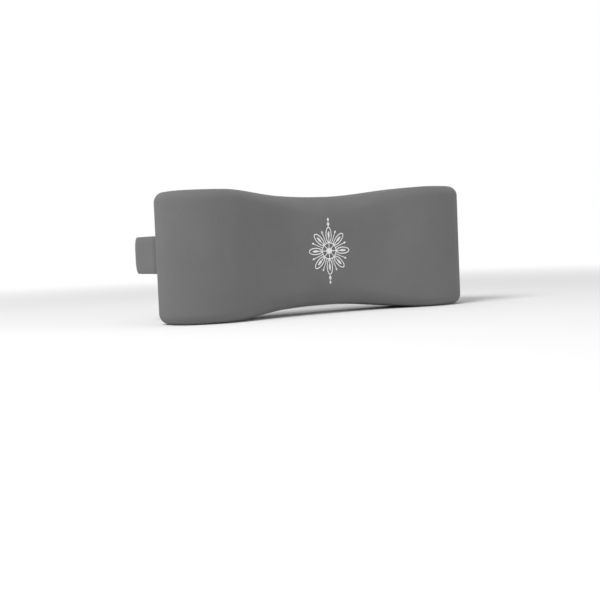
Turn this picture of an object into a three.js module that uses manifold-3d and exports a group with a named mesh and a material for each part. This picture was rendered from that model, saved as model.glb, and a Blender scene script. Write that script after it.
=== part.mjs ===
import * as THREE from "three";
import { mergeVertices } from "three/addons/utils/BufferGeometryUtils.js";
import Module from "manifold-3d";

// A neck pillow for a car seat: a foam core in a zipped fabric cover, waisted in the middle, with an
// elastic strap that runs behind the headrest posts and closes in a side-release buckle.
// X runs across the seat, -Y is the side that the neck rests on, +Z is up, and the pillow stands on the
// flat undersides of its two ends at z = 0. All sizes are in millimetres.

// Pillow
const pillowWidth = 300;
const endHeight = 110;
const waistHeight = 96.6;
const endDepth = 56;
const waistDepth = 40;
const hollowReach = 107; // from the middle to where the front stands furthest forward
const archReach = 103.5; // from the middle to where the pillow has its full height
const hollowPower = 1.8;
const archPower = 1.25;
const endRoundness = 2.2;
const endFlatFrom = 23; // the rounded end turns into its flat wall this far in front of the back
const edgeRadius = 9;
const waistEdgeRadius = 16;
const backCornerRadius = 12;

// Cover and foam
const coverWall = 2;
const foamGap = 1.5;
const seamInset = 2; // from the end of the edge's rounding to the back panel's seam
const panelCornerRadius = 8;
const sewingGap = 0.3; // between two pieces that are sewn or pressed together

// Zip in the back panel
const zipHeight = 30;
const zipEndMargin = 40; // from the zip's last tooth to the pillow's end
const zipSlotHalf = 3.5;
const tapeWidth = 11;
const tapeThickness = 0.8;
const teethHalfHeight = 2.4;
const toothSpine = 1.2;
const toothOverlap = 0.9;
const toothPitch = 4;
const toothWidth = 1.5;
const teethRecess = 0.3; // below the face of the back panel
const stopLength = 3;
const sliderLength = 10;
const flangeMargin = 1; // from the slider's end to its flanges
const sliderPlate = 2;
const sliderFlange = 0.5;
const bailWidth = 1.6;
const bailThickness = 1;
const pullBarRadius = 0.8;
const pullLength = 27;
const pullHalfWidth = 3.5;
const pullThickness = 1.4;

// Strap: a padded sleeve at each side, and webbing between the sleeves and the buckle
const sleeveWidth = 32;
const sleeveThickness = 5;
const sleeveRounding = 2.2;
const sleeveEndX = 112;
const pocketDepth = 10; // the webbing is sewn this deep into its sleeve
const strapWidth = 25;
const strapThickness = 2;
const strapRise = 3; // of the strap's middle above the pillow's middle
const strapOffset = 4; // of the sleeve's outer face from the pillow's end
const strapReach = 58; // from the pillow's back to the strap behind the posts
const strapTurnRadius = 18;
const strapRootRadius = 6;
const tabLength = 32;
const returnLength = 30;

// Side-release buckle and adjuster
const buckleHalfHeight = 16.5;
const buckleThickness = 9;
const socketBody = 20;
const socketTail = 11;
const wallOfSocket = 1.8;
const barDepth = 4; // along the strap
const barHalfThickness = 1.6;
const slotLength = 5; // along the strap
const slotMargin = 0.6; // beside the strap's edge
const plugFlange = 5.5;
const plugClearance = 0.4;
const prongLength = 13;
const prongWidth = 3.2;
const barbHeight = 2.6;
const adjusterX = 70;
const adjusterHalfLength = 11;
const adjusterRail = 3;
const adjusterBarRadius = 1.2;
const adjusterBarThickness = 1.8;

// Embroidery on the front
const emblemHalfHeight = 29;
const rosetteRadius = 21;
const heartRadius = 3;
const petalCount = 8;
const petalHalfLength = 7;
const petalHalfWidth = 3.2;
const seedHalfLength = 3;
const seedHalfWidth = 1;
const beadInset = 3.5; // from the rosette's edge to the beads between its petals
const beadHalfSize = 1.4;
const lineWidth = 1;
const threadRelief = 0.8;

// Values worked out from the sizes above
const middleZ = endHeight / 2;
const strapZ = middleZ + strapRise;
const layerOffset = barHalfThickness + sewingGap + strapThickness / 2; // from a bar's middle to its webbing
const adjusterLoop = adjusterBarRadius + sewingGap + strapThickness / 2;
const adjusterBarOffset = layerOffset - strapThickness - sewingGap - adjusterLoop; // from the buckle's middle
const adjusterOuter = layerOffset + strapThickness / 2 + sewingGap + adjusterBarThickness;
const hardwareReach = strapReach - layerOffset + Math.max(buckleThickness / 2, adjusterOuter);
const rearReach = Math.max(hardwareReach, strapReach + sleeveThickness / 2);
const backY = (endDepth - rearReach) / 2;
const buckleY = backY + strapReach - layerOffset;
const strapSideX = pillowWidth / 2 - strapOffset - sleeveThickness / 2;
const zipHalfLength = pillowWidth / 2 - zipEndMargin;

const wasm = await Module();
wasm.setup();

// Closed mesh to solid and back
function toSolid(geometry) {
  const bare = geometry.clone();
  bare.deleteAttribute("normal");
  bare.deleteAttribute("uv");
  const merged = mergeVertices(bare, 1e-4);
  return new wasm.Manifold(
    new wasm.Mesh({
      numProp: 3,
      vertProperties: new Float32Array(merged.attributes.position.array),
      triVerts: new Uint32Array(merged.index.array),
    }),
  );
}

function toGeometry(solid) {
  const mesh = solid.getMesh();
  const geometry = new THREE.BufferGeometry();
  geometry.setAttribute("position", new THREE.BufferAttribute(new Float32Array(mesh.vertProperties), 3));
  geometry.setIndex(new THREE.BufferAttribute(new Uint32Array(mesh.triVerts), 1));
  geometry.computeVertexNormals();
  return geometry;
}

// A box between two corners
function block(low, high) {
  const geometry = new THREE.BoxGeometry(high[0] - low[0], high[1] - low[1], high[2] - low[2]);
  geometry.translate((low[0] + high[0]) / 2, (low[1] + high[1]) / 2, (low[2] + high[2]) / 2);
  return toSolid(geometry);
}

// An outline in X and Z, carried from one Y to another
const outlineSegments = 6;

function plate(shape, fromY, toY) {
  const geometry = new THREE.ExtrudeGeometry(shape, {
    depth: toY - fromY,
    bevelEnabled: false,
    curveSegments: outlineSegments,
  });
  geometry.rotateX(Math.PI / 2);
  geometry.translate(0, toY, 0);
  return toSolid(geometry);
}

// An outline in X and Y, carried from one Z to another
function slab(shape, fromZ, toZ) {
  const geometry = new THREE.ExtrudeGeometry(shape, {
    depth: toZ - fromZ,
    bevelEnabled: false,
    curveSegments: outlineSegments,
  });
  geometry.translate(0, 0, fromZ);
  return toSolid(geometry);
}

// A rectangle with rounded corners, in X and the shape's second axis
function roundedRectangle(left, right, low, high, radius) {
  const shape = new THREE.Shape();
  shape.moveTo(left + radius, low);
  shape.lineTo(right - radius, low);
  shape.absarc(right - radius, low + radius, radius, -Math.PI / 2, 0);
  shape.lineTo(right, high - radius);
  shape.absarc(right - radius, high - radius, radius, 0, Math.PI / 2);
  shape.lineTo(left + radius, high);
  shape.absarc(left + radius, high - radius, radius, Math.PI / 2, Math.PI);
  shape.lineTo(left, low + radius);
  shape.absarc(left + radius, low + radius, radius, Math.PI, Math.PI * 1.5);
  return shape;
}

// Pillow form: its outline seen from above, its half height, and the rounding of its edges

const smooth = (t) => t * t * (3 - 2 * t);
const hollowSteps = 8;
const endSteps = 9;
const backCornerSteps = 4;
const chainLength = hollowSteps + endSteps;
const roundingSteps = 4;

function halfHeight(x) {
  const share = smooth(Math.min(Math.abs(x) / archReach, 1) ** archPower);
  return (waistHeight + (endHeight - waistHeight) * share) / 2;
}

function frontEdgeRadius(x) {
  const share = smooth(Math.min(Math.abs(x) / archReach, 1));
  const waistRadius = Math.min(waistEdgeRadius, waistDepth - edgeRadius);
  return waistRadius + (edgeRadius - waistRadius) * share;
}

// Point i of the front's right half, from the middle to the flat end, with its inward direction
function frontPoint(i) {
  if (i <= hollowSteps) {
    const x = (hollowReach * i) / hollowSteps;
    const depthAt = (at) => waistDepth + (endDepth - waistDepth) * smooth((at / hollowReach) ** hollowPower);
    const slope = i === 0 || i === hollowSteps ? 0 : (depthAt(x + 0.1) - depthAt(x - 0.1)) / 0.2;
    const size = Math.hypot(slope, 1);
    return { x, y: backY - depthAt(x), inX: slope / size, inY: 1 / size, radius: frontEdgeRadius(x) };
  }
  const angle = ((Math.PI / 2) * (i - hollowSteps)) / endSteps;
  const across = pillowWidth / 2 - hollowReach;
  const deep = endDepth - endFlatFrom;
  const s = Math.sin(angle) ** (2 / endRoundness);
  const c = i === chainLength ? 0 : Math.cos(angle) ** (2 / endRoundness);
  const gradX = s ** (endRoundness - 1) / across;
  const gradY = c ** (endRoundness - 1) / deep;
  const size = Math.hypot(gradX, gradY);
  const x = hollowReach + across * s;
  const y = backY - endFlatFrom - deep * c;
  return { x, y, inX: -gradX / size, inY: gradY / size, radius: frontEdgeRadius(x) };
}

// Point i of the back's right half, from the middle to the flat end
function backPoint(i) {
  const cornerX = pillowWidth / 2 - backCornerRadius;
  const straightSteps = chainLength - backCornerSteps;
  if (i <= hollowSteps) {
    return { x: (hollowReach * i) / hollowSteps, y: backY, inX: 0, inY: -1, radius: edgeRadius };
  }
  if (i <= straightSteps) {
    const x = hollowReach + ((cornerX - hollowReach) * (i - hollowSteps)) / (straightSteps - hollowSteps);
    return { x, y: backY, inX: 0, inY: -1, radius: edgeRadius };
  }
  const angle = (Math.PI / 2) * (1 - (i - straightSteps) / backCornerSteps);
  const c = i === chainLength ? 1 : Math.cos(angle);
  const s = i === chainLength ? 0 : Math.sin(angle);
  return {
    x: cornerX + backCornerRadius * c,
    y: backY - backCornerRadius + backCornerRadius * s,
    inX: -c,
    inY: -s,
    radius: edgeRadius,
  };
}

// The pillow's form, drawn in by a wall all round: rings from the underside's flat up to the top's flat
function cushion(wall) {
  const front = [];
  const back = [];
  for (let i = 0; i <= chainLength; i += 1) {
    front.push(frontPoint(i));
    back.push(backPoint(i));
  }
  const mirrored = (p) => ({ ...p, x: -p.x, inX: -p.inX });
  const outline = [
    ...front,
    ...back.slice().reverse(),
    ...back.slice(1).map(mirrored),
    ...front.slice(1).reverse().map(mirrored),
  ];
  const count = outline.length;
  const points = [];
  const addRing = (angle, side) => {
    for (const p of outline) {
      const radius = p.radius - wall;
      const inset = wall + radius * (1 - Math.cos(angle));
      const height = halfHeight(p.x) - wall - radius * (1 - Math.sin(angle));
      points.push(p.x + p.inX * inset, p.y + p.inY * inset, middleZ + side * height);
    }
  };
  const stepAngle = Math.PI / 2 / roundingSteps;
  for (let level = roundingSteps; level >= 0; level -= 1) addRing(stepAngle * level, -1);
  for (let level = 0; level <= roundingSteps; level += 1) addRing(stepAngle * level, 1);
  const ringCount = 2 * (roundingSteps + 1);
  const faces = [];
  for (let ring = 0; ring < ringCount - 1; ring += 1) {
    for (let i = 0; i < count; i += 1) {
      const next = (i + 1) % count;
      const a = ring * count + i;
      const b = ring * count + next;
      const c = (ring + 1) * count + next;
      const d = (ring + 1) * count + i;
      faces.push(a, b, c, a, c, d);
    }
  }
  // Top and underside: rungs from the front chain to the back chain
  const rung = chainLength;
  const topStart = (ringCount - 1) * count;
  const index = {
    rightFront: (i) => i,
    rightBack: (i) => 2 * rung + 1 - i,
    leftBack: (i) => 2 * rung + 1 + i,
    leftFront: (i) => (count - i) % count,
  };
  const addCap = (start, flip) => {
    for (let i = 0; i < rung; i += 1) {
      const quads = [
        [index.rightFront(i), index.rightFront(i + 1), index.rightBack(i + 1), index.rightBack(i)],
        [index.leftBack(i), index.leftBack(i + 1), index.leftFront(i + 1), index.leftFront(i)],
      ];
      for (const quad of quads) {
        const [a, b, c, d] = (flip ? quad.reverse() : quad).map((k) => k + start);
        faces.push(a, b, c, a, c, d);
      }
    }
  };
  addCap(0, true);
  addCap(topStart, false);
  const geometry = new THREE.BufferGeometry();
  geometry.setAttribute("position", new THREE.Float32BufferAttribute(points, 3));
  geometry.setIndex(faces);
  return toSolid(geometry);
}

// Back panel's outline: the flat of the back, drawn in by a margin
function panelOutline(margin) {
  const halfLength = pillowWidth / 2 - backCornerRadius - margin;
  const edge = (x) => halfHeight(x) - edgeRadius - margin;
  const radius = panelCornerRadius;
  const cornerX = halfLength - radius;
  const cornerZ = edge(halfLength) - radius;
  const steps = 12;
  const top = [];
  for (let i = 0; i <= steps; i += 1) {
    const x = cornerX * (1 - (2 * i) / steps);
    top.push([x, edge(x)]);
  }
  const shape = new THREE.Shape();
  shape.absarc(cornerX, middleZ + cornerZ, radius, 0, Math.PI / 2);
  for (const [x, z] of top) shape.lineTo(x, middleZ + z);
  shape.absarc(-cornerX, middleZ + cornerZ, radius, Math.PI / 2, Math.PI);
  shape.absarc(-cornerX, middleZ - cornerZ, radius, Math.PI, Math.PI * 1.5);
  for (const [x, z] of top) shape.lineTo(-x, middleZ - z);
  shape.absarc(cornerX, middleZ - cornerZ, radius, Math.PI * 1.5, Math.PI * 2);
  return shape;
}

const group = new THREE.Group();

function addNode(name, solid, colour, roughness, metalness = 0) {
  const material = new THREE.MeshStandardMaterial({ color: colour, roughness, metalness });
  const mesh = new THREE.Mesh(toGeometry(solid), material);
  mesh.name = name;
  group.add(mesh);
}

// Cover and foam

const coverGrey = 0x6e6e6e;
const webbingGrey = 0x5c5c5c;
const far = pillowWidth; // reach of the blocks that cut the cover

function buildCover() {
  const wall = cushion(0).subtract(cushion(coverWall));
  const cut = (margin) => plate(panelOutline(margin), backY - 2 * coverWall, backY + coverWall);
  const panel = wall.intersect(cut(seamInset + sewingGap));
  const zipSlot = block(
    [-zipHalfLength - stopLength - 2 * sewingGap, backY - 2 * coverWall, zipHeight - zipSlotHalf],
    [zipHalfLength + stopLength + 2 * sewingGap, backY + coverWall, zipHeight + zipSlotHalf],
  );
  const above = block([-far, -far, zipHeight + sewingGap / 2], [far, far, far]);
  const below = block([-far, -far, -far], [far, far, zipHeight - sewingGap / 2]);
  addNode("cover_front", wall.subtract(cut(seamInset)), coverGrey, 0.9);
  addNode("cover_back_upper", panel.intersect(above).subtract(zipSlot), coverGrey, 0.9);
  addNode("cover_back_lower", panel.intersect(below).subtract(zipSlot), coverGrey, 0.9);
  addNode("foam_core", cushion(coverWall + foamGap), 0xe9e2c4, 0.95);
}

// Zip: two tapes behind the back panel, two rows of teeth in its slot, stops, slider and pull

const tapeFace = backY - coverWall - sewingGap; // the tapes' outer face
const teethFace = backY - teethRecess;

// A row of teeth on its spine. side is 1 for the row above the zip's middle and -1 for the one below
function teethRow(side) {
  const shape = new THREE.Shape();
  const spineZ = zipHeight + side * toothSpine;
  const outerZ = zipHeight + side * teethHalfHeight;
  const tipZ = zipHeight - side * toothOverlap;
  shape.moveTo(-zipHalfLength, outerZ);
  shape.lineTo(-zipHalfLength, spineZ);
  const shift = side > 0 ? 0 : toothPitch / 2;
  for (let x = -zipHalfLength + toothPitch / 2 + shift; x < zipHalfLength - toothPitch / 2; x += toothPitch) {
    shape.lineTo(x - toothWidth / 2, spineZ);
    shape.lineTo(x - toothWidth / 2, tipZ);
    shape.lineTo(x + toothWidth / 2, tipZ);
    shape.lineTo(x + toothWidth / 2, spineZ);
  }
  shape.lineTo(zipHalfLength, spineZ);
  shape.lineTo(zipHalfLength, outerZ);
  return plate(shape, tapeFace + sewingGap, teethFace);
}

function zipStop(side) {
  const near = side * (zipHalfLength + sewingGap);
  const end = near + side * stopLength;
  const outline = roundedRectangle(
    Math.min(near, end),
    Math.max(near, end),
    zipHeight - teethHalfHeight,
    zipHeight + teethHalfHeight,
    stopLength / 4,
  );
  return plate(outline, tapeFace + sewingGap, teethFace);
}

// The slider rests at the closed end, on the left
const sliderX = -zipHalfLength + sliderLength / 2 + sewingGap;
const sliderTop = backY + sewingGap + sliderPlate;
const pullAxisY = sliderTop + sewingGap + pullBarRadius;
const bailUnder = pullAxisY + pullBarRadius + sewingGap;
const bailInner = sliderLength / 2 - bailThickness - sewingGap;

function zipSlider() {
  const halfPlate = zipSlotHalf + sliderFlange;
  const body = plate(
    roundedRectangle(
      sliderX - sliderLength / 2,
      sliderX + sliderLength / 2,
      zipHeight - halfPlate,
      zipHeight + halfPlate,
      sliderLength / 5,
    ),
    backY + sewingGap,
    sliderTop,
  );
  const flangeInner = teethHalfHeight + sewingGap;
  const flangeOuter = zipSlotHalf - sewingGap;
  const flangeEnd = sliderLength / 2 - flangeMargin;
  const flanges = [[flangeInner, flangeOuter], [-flangeOuter, -flangeInner]].map(([low, high]) =>
    block(
      [sliderX - flangeEnd, tapeFace + sewingGap, zipHeight + low],
      [sliderX + flangeEnd, sliderTop - sliderPlate / 2, zipHeight + high],
    ),
  );
  // The bail is an arch along the zip, and the pull's bar lies under it
  const bailEnd = bailInner + bailThickness;
  const arch = block(
    [sliderX - bailEnd, sliderTop - sliderPlate / 2, zipHeight - bailWidth / 2],
    [sliderX + bailEnd, bailUnder + bailThickness, zipHeight + bailWidth / 2],
  ).subtract(
    block(
      [sliderX - bailInner, sliderTop - sliderPlate / 4, zipHeight - bailWidth],
      [sliderX + bailInner, bailUnder, zipHeight + bailWidth],
    ),
  );
  return body.add(flanges[0]).add(flanges[1]).add(arch);
}

function zipPull() {
  const eyeEnd = bailInner + bailThickness + 4 * sewingGap;
  const eyeHalf = bailWidth / 2 + sewingGap;
  const outline = roundedRectangle(
    sliderX - pullBarRadius,
    sliderX + pullLength,
    zipHeight - pullHalfWidth,
    zipHeight + pullHalfWidth,
    pullBarRadius,
  );
  const tab = plate(outline, pullAxisY - pullThickness / 2, pullAxisY + pullThickness / 2);
  const eye = block(
    [sliderX + pullBarRadius, pullAxisY - pullThickness, zipHeight - eyeHalf],
    [sliderX + eyeEnd, pullAxisY + pullThickness, zipHeight + eyeHalf],
  );
  return tab.subtract(eye);
}

function buildZip() {
  for (const [name, side] of [["upper", 1], ["lower", -1]]) {
    const near = zipHeight + (side * sewingGap) / 2;
    const end = zipHeight + side * tapeWidth;
    const length = zipHalfLength + 2 * stopLength;
    const tape = block(
      [-length, tapeFace - tapeThickness, Math.min(near, end)],
      [length, tapeFace, Math.max(near, end)],
    );
    addNode(`zip_tape_${name}`, tape, 0x3c3c3c, 0.9);
    addNode(`zip_teeth_${name}`, teethRow(side), 0x2e2e2e, 0.5);
  }
  addNode("zip_bottom_stop", zipStop(1), 0x8a8a8a, 0.4, 0.8);
  addNode("zip_top_stop", zipStop(-1), 0x8a8a8a, 0.4, 0.8);
  addNode("zip_slider", zipSlider(), 0x4a4a4a, 0.4, 0.6);
  addNode("zip_pull", zipPull(), 0x4a4a4a, 0.4, 0.6);
}

// Strap: each band is drawn as its middle line in X and Y, and given its thickness and width

// A band along a line of points, each with the direction in which the line runs there. Its section is a
// rectangle, or one with its four corners rounded off
function band(line, thickness, width, rounding = 0) {
  const section = [];
  for (const [signAcross, signUp, start] of [[1, -1, -0.5], [1, 1, 0], [-1, 1, 0.5], [-1, -1, 1]]) {
    const steps = rounding > 0 ? 2 : 0;
    for (let i = 0; i <= steps; i += 1) {
      const angle = Math.PI * (start + (steps ? i / steps / 2 : 0));
      section.push([
        signAcross * (thickness / 2 - rounding) + rounding * Math.cos(angle),
        signUp * (width / 2 - rounding) + rounding * Math.sin(angle),
      ]);
    }
  }
  const points = [];
  for (const [x, y, dx, dy] of line) {
    for (const [across, up] of section) points.push(x - dy * across, y + dx * across, strapZ + up);
  }
  const count = section.length;
  const last = (line.length - 1) * count;
  const faces = [];
  for (let ring = 0; ring < line.length - 1; ring += 1) {
    for (let i = 0; i < count; i += 1) {
      const a = ring * count + i;
      const b = ring * count + ((i + 1) % count);
      faces.push(a, b, b + count, a, b + count, a + count);
    }
  }
  for (let i = 1; i < count - 1; i += 1) {
    faces.push(0, i + 1, i);
    faces.push(last, last + i, last + i + 1);
  }
  const geometry = new THREE.BufferGeometry();
  geometry.setAttribute("position", new THREE.Float32BufferAttribute(points, 3));
  geometry.setIndex(faces);
  return toSolid(geometry);
}

// Points of an arc round a centre, from one angle to another, in the direction of travel
function arcLine(centreX, centreY, radius, from, to, steps) {
  const turn = Math.sign(to - from);
  const points = [];
  for (let i = 0; i <= steps; i += 1) {
    const a = from + ((to - from) * i) / steps;
    points.push([
      centreX + radius * Math.cos(a),
      centreY + radius * Math.sin(a),
      -turn * Math.sin(a),
      turn * Math.cos(a),
    ]);
  }
  return points;
}

// Points of a line that leaves one layer and eases over to another
function easedLine(fromX, fromY, toX, toY) {
  const steps = 6;
  const points = [];
  for (let i = 0; i <= steps; i += 1) {
    const t = i / steps;
    const slope = ((toY - fromY) * 6 * t * (1 - t)) / (toX - fromX);
    const size = Math.hypot(1, slope);
    points.push([fromX + (toX - fromX) * t, fromY + (toY - fromY) * smooth(t), 1 / size, slope / size]);
  }
  return points;
}

// The right sleeve: from its tab, sewn to the back panel, straight back and round behind the posts. The
// webbing is sewn into the pocket at its end
function sleeve() {
  const tabY = backY + sewingGap + sleeveThickness / 2;
  const rootX = strapSideX - strapRootRadius;
  const turnX = strapSideX - strapTurnRadius;
  const rearY = backY + strapReach;
  const line = [
    [rootX - tabLength, tabY, 1, 0],
    ...arcLine(rootX, tabY + strapRootRadius, strapRootRadius, -Math.PI / 2, 0, 5),
    ...arcLine(turnX, rearY - strapTurnRadius, strapTurnRadius, 0, Math.PI / 2, 8),
    [sleeveEndX, rearY, -1, 0],
  ];
  const pocketHalf = strapWidth / 2 + sewingGap;
  const pocket = block(
    [sleeveEndX - pocketDepth, rearY - strapThickness / 2 - sewingGap, strapZ - pocketHalf],
    [sleeveEndX + pocketDepth, rearY + strapThickness / 2 + sewingGap, strapZ + pocketHalf],
  );
  return band(line, sleeveThickness, sleeveWidth, sleeveRounding).subtract(pocket);
}

const webbing = (line) => band(line, strapThickness, strapWidth);
const webbingStart = [sleeveEndX + pocketDepth - sewingGap, backY + strapReach, -1, 0];

// Where the webbing turns round a buckle's bar: the middle of the turn, from the buckle's joint face
const socketTurn = socketBody + socketTail - barDepth - sewingGap / 2;
const plugTurn = plugClearance + plugFlange + socketTail - barDepth - sewingGap / 2;

// The return layer of the left webbing lies on the outer layer and is sewn to it
function webbingLeft() {
  const lowY = buckleY - layerOffset;
  const sewnY = buckleY + layerOffset - strapThickness - sewingGap;
  const easeFrom = socketTurn + 1.5 * barDepth;
  const easeLength = 3 * barDepth;
  return webbing([
    webbingStart,
    ...arcLine(socketTurn, buckleY, layerOffset, Math.PI / 2, Math.PI * 1.5, 10),
    ...easedLine(easeFrom, lowY, easeFrom + easeLength, sewnY),
    [easeFrom + easeLength + returnLength, sewnY, 1, 0],
  ]).mirror([1, 0, 0]);
}

// The return layer of the right webbing runs back to the adjuster's middle bar and is sewn round it
function webbingRight() {
  const barY = buckleY + adjusterBarOffset;
  return webbing([
    webbingStart,
    ...arcLine(plugTurn, buckleY, layerOffset, Math.PI / 2, Math.PI * 1.5, 10),
    ...easedLine(plugTurn, buckleY - layerOffset, adjusterX, barY - adjusterLoop).slice(1, -1),
    ...arcLine(adjusterX, barY, adjusterLoop, -Math.PI / 2, Math.PI / 2, 8),
    [adjusterX - 3 * adjusterLoop, barY + adjusterLoop, -1, 0],
  ]);
}

// Side-release buckle: a hollow socket with open sides, and a plug with two prongs and a guide

const slotHalfHeight = strapWidth / 2 + slotMargin;

// The flat tail that the webbing turns round: a plate with one slot, on the side that X points to
function buckleTail(fromX) {
  const endX = fromX + socketTail;
  const outline = roundedRectangle(
    fromX - barDepth / 2,
    endX,
    strapZ - buckleHalfHeight,
    strapZ + buckleHalfHeight,
    barDepth / 4,
  );
  const slot = block(
    [endX - barDepth - slotLength, buckleY - buckleThickness, strapZ - slotHalfHeight],
    [endX - barDepth, buckleY + buckleThickness, strapZ + slotHalfHeight],
  );
  return plate(outline, buckleY - barHalfThickness, buckleY + barHalfThickness).subtract(slot);
}

// The socket is drawn to the right of its mouth and mirrored, because it sits on the left
const cavityHalf = buckleHalfHeight - 2 * wallOfSocket;
const cavityDepth = prongLength + 3 * plugClearance;
const windowStart = prongLength * 0.35;
const barbStart = prongLength * 0.4;
const barbFull = prongLength * 0.45;
const barbEnd = prongLength * 0.75;
const guideReach = prongLength * 0.8;

function buckleSocket() {
  const body = plate(
    roundedRectangle(0, socketBody, strapZ - buckleHalfHeight, strapZ + buckleHalfHeight, wallOfSocket),
    buckleY - buckleThickness / 2,
    buckleY + buckleThickness / 2,
  );
  const cavityY = buckleThickness / 2 - wallOfSocket;
  const cavity = block(
    [-wallOfSocket, buckleY - cavityY, strapZ - cavityHalf],
    [cavityDepth, buckleY + cavityY, strapZ + cavityHalf],
  );
  const windows = block(
    [windowStart, buckleY - cavityY, strapZ - 2 * buckleHalfHeight],
    [prongLength, buckleY + cavityY, strapZ + 2 * buckleHalfHeight],
  );
  return body.add(buckleTail(socketBody)).subtract(cavity).subtract(windows).mirror([1, 0, 0]);
}

function bucklePlug() {
  const flangeEnd = plugClearance + plugFlange;
  const flange = plate(
    roundedRectangle(
      plugClearance,
      flangeEnd,
      strapZ - buckleHalfHeight,
      strapZ + buckleHalfHeight,
      wallOfSocket,
    ),
    buckleY - buckleThickness / 2,
    buckleY + buckleThickness / 2,
  );
  const halfY = buckleThickness / 2 - wallOfSocket - plugClearance;
  const barbOuter = cavityHalf - plugClearance;
  const armOuter = barbOuter - barbHeight;
  const armInner = armOuter - prongWidth;
  const root = plugClearance + plugFlange / 2;
  let solid = flange.add(buckleTail(flangeEnd));
  for (const side of [-1, 1]) {
    const arm = [
      [root, armInner],
      [root, armOuter],
      [-barbStart, armOuter],
      [-barbFull, barbOuter],
      [-barbEnd, barbOuter],
      [-prongLength, armInner + prongWidth / 2],
      [-prongLength, armInner],
    ].map(([x, z]) => new THREE.Vector2(x, strapZ + side * z));
    solid = solid.add(plate(new THREE.Shape(arm), buckleY - halfY, buckleY + halfY));
  }
  const guide = block(
    [-guideReach, buckleY - halfY, strapZ - wallOfSocket],
    [root, buckleY + halfY, strapZ + wallOfSocket],
  );
  return solid.add(guide);
}

// Adjuster: two rails, two outer bars over the strap and a middle bar that the sewn end turns round
function adjuster() {
  const barY = buckleY + adjusterBarOffset;
  const outerY = buckleY + adjusterOuter;
  const railEnd = slotHalfHeight + adjusterRail;
  let solid = slab(
    new THREE.Shape().absarc(adjusterX, barY, adjusterBarRadius, 0, Math.PI * 2),
    strapZ - railEnd,
    strapZ + railEnd,
  );
  for (const [low, high] of [[-railEnd, -slotHalfHeight], [slotHalfHeight, railEnd]]) {
    const rail = block(
      [adjusterX - adjusterHalfLength, barY - adjusterBarRadius, strapZ + low],
      [adjusterX + adjusterHalfLength, outerY, strapZ + high],
    );
    solid = solid.add(rail);
  }
  for (const nearX of [adjusterX - adjusterHalfLength, adjusterX + adjusterHalfLength - barDepth]) {
    const bar = block(
      [nearX, outerY - adjusterBarThickness, strapZ - railEnd],
      [nearX + barDepth, outerY, strapZ + railEnd],
    );
    solid = solid.add(bar);
  }
  return solid;
}

function buildStrap() {
  addNode("strap_sleeve_left", sleeve().mirror([1, 0, 0]), coverGrey, 0.9);
  addNode("strap_sleeve_right", sleeve(), coverGrey, 0.9);
  addNode("webbing_left", webbingLeft(), webbingGrey, 0.85);
  addNode("webbing_right", webbingRight(), webbingGrey, 0.85);
  addNode("buckle_socket", buckleSocket(), 0x2b2b2b, 0.45);
  addNode("buckle_plug", bucklePlug(), 0x2b2b2b, 0.45);
  addNode("strap_adjuster", adjuster(), 0x2b2b2b, 0.45);
}

// Embroidery: an eight-petal rosette drawn in lines, with a bead between each two petals, and two diamonds
// above it and two below, on the flat of the waist
const emblemY = backY - waistDepth - sewingGap;
const stitched = (shape) => plate(shape, emblemY - threadRelief, emblemY);

// An ellipse that lies along a ray from the rosette's middle, with its own middle at a radius
function leaf(angle, radius, halfLength, halfWidth) {
  const x = radius * Math.cos(angle);
  const z = middleZ + radius * Math.sin(angle);
  return new THREE.Shape().absellipse(x, z, halfLength, halfWidth, 0, Math.PI * 2, false, angle);
}

// A line along a ray, from one radius to another
function ray(angle, from, to) {
  const along = new THREE.Vector2(Math.cos(angle), Math.sin(angle));
  const aside = new THREE.Vector2(-along.y, along.x).multiplyScalar(lineWidth / 2);
  const corners = [[from, -1], [to, -1], [to, 1], [from, 1]].map(([radius, side]) =>
    new THREE.Vector2(0, middleZ).addScaledVector(along, radius).addScaledVector(aside, side),
  );
  return new THREE.Shape(corners);
}

function diamond(angle, radius, halfLength) {
  const halfWidth = halfLength * 0.7;
  const rosetteMiddle = new THREE.Vector2(0, middleZ);
  const corners = [[halfLength, 0], [0, halfWidth], [-halfLength, 0], [0, -halfWidth]].map(([u, v]) =>
    new THREE.Vector2(radius + u, middleZ + v).rotateAround(rosetteMiddle, angle),
  );
  return new THREE.Shape(corners);
}

function buildEmblem() {
  const petalMiddle = rosetteRadius - petalHalfLength;
  const ringRadius = rosetteRadius - 2 * petalHalfLength;
  const beadRadius = rosetteRadius - beadInset;
  const ring = leaf(0, 0, ringRadius + lineWidth / 2, ringRadius + lineWidth / 2);
  ring.holes.push(leaf(0, 0, ringRadius - lineWidth / 2, ringRadius - lineWidth / 2));
  let solid = stitched(ring).add(stitched(leaf(0, 0, heartRadius, heartRadius)));
  for (let i = 0; i < petalCount; i += 1) {
    const angle = (Math.PI * 2 * i) / petalCount;
    const between = angle + Math.PI / petalCount;
    const petal = leaf(angle, petalMiddle, petalHalfLength, petalHalfWidth);
    petal.holes.push(leaf(angle, petalMiddle, petalHalfLength - lineWidth, petalHalfWidth - lineWidth));
    solid = solid.add(stitched(petal));
    solid = solid.add(stitched(leaf(angle, petalMiddle, seedHalfLength, seedHalfWidth)));
    solid = solid.add(stitched(ray(angle, heartRadius / 2, petalMiddle)));
    solid = solid.add(stitched(ray(between, ringRadius, beadRadius)));
    solid = solid.add(stitched(diamond(between, beadRadius, beadHalfSize)));
  }
  const space = emblemHalfHeight - rosetteRadius;
  for (const angle of [Math.PI / 2, -Math.PI / 2]) {
    for (const [place, size] of [[0.3, 0.28], [0.8, 0.2]]) {
      solid = solid.add(stitched(diamond(angle, rosetteRadius + space * place, space * size)));
    }
    solid = solid.add(stitched(ray(angle, rosetteRadius - lineWidth / 2, emblemHalfHeight - lineWidth)));
  }
  addNode("emblem", solid, 0xf2f2f2, 0.6);
}

buildCover();
buildZip();
buildStrap();
buildEmblem();

export default group;
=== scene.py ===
import math

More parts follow.
